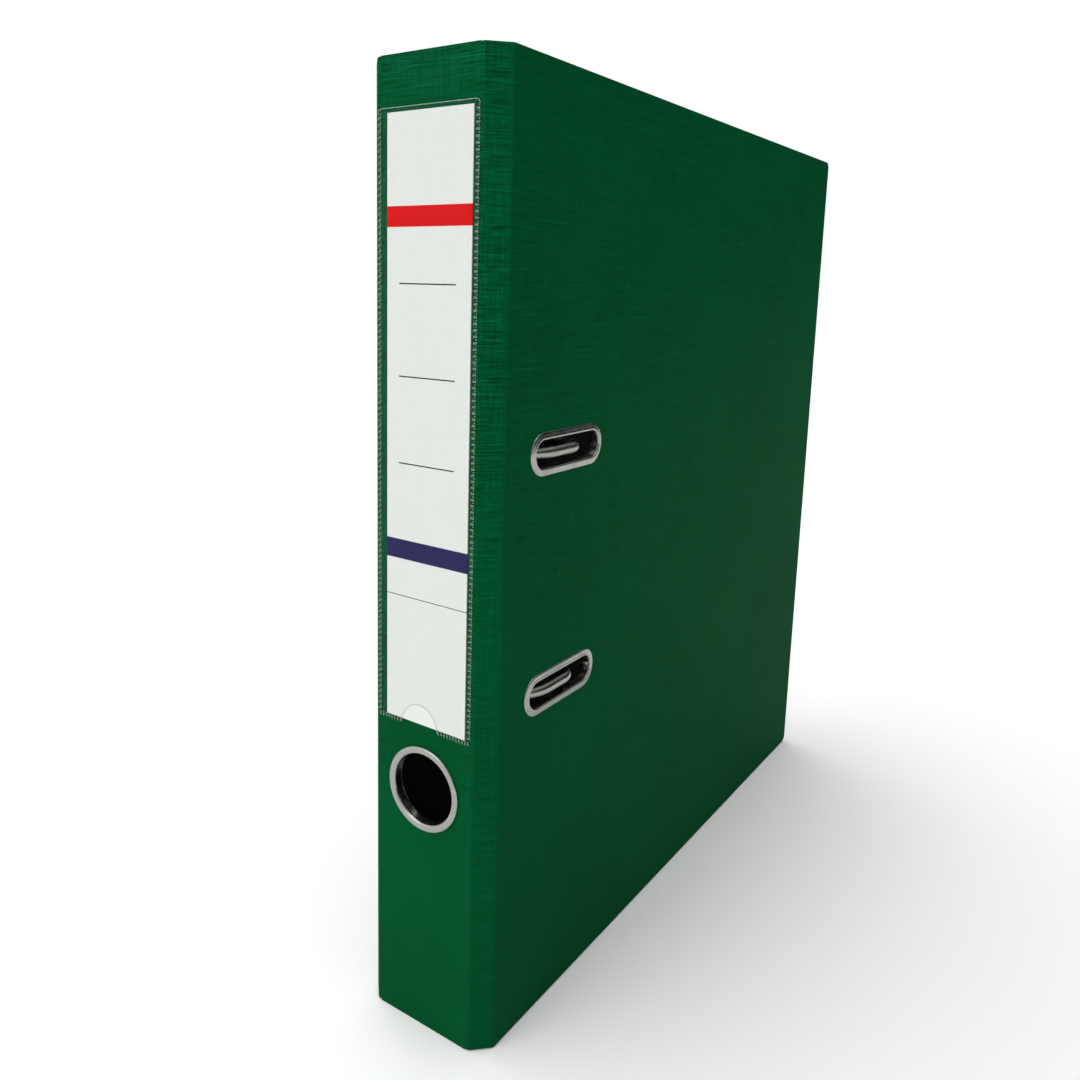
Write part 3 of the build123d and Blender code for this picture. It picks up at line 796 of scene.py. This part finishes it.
def make_floor():
    bm = bmesh.new()
    corners = ((-1, -1), (1, -1), (1, 1), (-1, 1))
    bm.faces.new([bm.verts.new((u * FLOOR_HALF, v * FLOOR_HALF, 0)) for u, v in corners])
    floor = finish_mesh(bm, "floor")
    floor.location.z = -FLOOR_DROP
    g = new_graph("floor_paint")
    floor.data.materials.append(g.set(Base_Color=(0.93, 0.93, 0.93), Roughness=0.9))


WORLD_BASE = 0.28
WORLD_RISE = 0.95
WORLD_SIDE = (-0.6, -0.4)
WORLD_LEAST = 0.04
KEY_PLACE = (-0.35, -1.3, 0.55)
KEY_SIZE = (0.6, 0.8)
KEY_POWER = 2.2
TOP_POWER = 0.8
TOP_ANGLE = 40


def add_light(lamp, place):
    made = bpy.data.objects.new(lamp.name, lamp)
    made.location = place
    bpy.context.scene.collection.objects.link(made)
    return made


def make_world():
    """A white studio, brighter above and to the front left, white behind the object."""
    world = bpy.data.worlds.new("studio")
    g = Graph(world)
    back = g.tree.nodes["Background"]
    back.inputs["Color"].default_value = (1, 1, 1, 1)
    x, y, z = g.place("Generated")
    rise = g.math("MULTIPLY", g.math("MAXIMUM", z, 0.0), WORLD_RISE)
    side = g.math("ADD", g.math("MULTIPLY", x, WORLD_SIDE[0]), g.math("MULTIPLY", y, WORLD_SIDE[1]))
    light = g.math("MAXIMUM", g.math("ADD", g.math("ADD", rise, side), WORLD_BASE), WORLD_LEAST)
    seen = g.node("ShaderNodeLightPath").outputs["Is Camera Ray"]
    g.link(g.math("MAXIMUM", light, seen), back.inputs["Strength"])
    bpy.context.scene.world = world


def make_light():
    make_world()
    key = bpy.data.lights.new("key", "AREA")
    key.shape = "RECTANGLE"
    key.size, key.size_y = KEY_SIZE
    key.energy = KEY_POWER
    aim = Vector((0, 0, HEIGHT / 2)) - Vector(KEY_PLACE)
    add_light(key, KEY_PLACE).rotation_euler = aim.to_track_quat("-Z", "Y").to_euler()
    top = bpy.data.lights.new("top", "SUN")
    top.energy = TOP_POWER
    top.angle = math.radians(TOP_ANGLE)
    add_light(top, (0, 0, 1))
    bpy.context.scene.view_settings.view_transform = "Standard"


CAMERA_PLACE = (0.18684, -0.35857, 0.24876)
CAMERA_TILT = 79.962
CAMERA_ROLL = -1.419
CAMERA_HEADING = 35.013
CAMERA_LENS = 31.63
CAMERA_SHIFT = (0.0171, -0.0785)


def make_camera():
    data = bpy.data.cameras.new("camera")
    data.lens = CAMERA_LENS
    data.sensor_width = 36
    data.shift_x, data.shift_y = CAMERA_SHIFT
    data.clip_start = 0.01
    made = bpy.data.objects.new("camera", data)
    made.location = CAMERA_PLACE
    made.rotation_euler = Euler(
        (math.radians(CAMERA_TILT), math.radians(CAMERA_ROLL), math.radians(CAMERA_HEADING)), "XYZ"
    )
    bpy.context.scene.collection.objects.link(made)
    bpy.context.scene.camera = made


materials = make_materials()
dress_cad(materials)
make_case(materials)
make_pocket(materials)
make_eyelets(materials)
make_floor()
make_light()
make_camera()
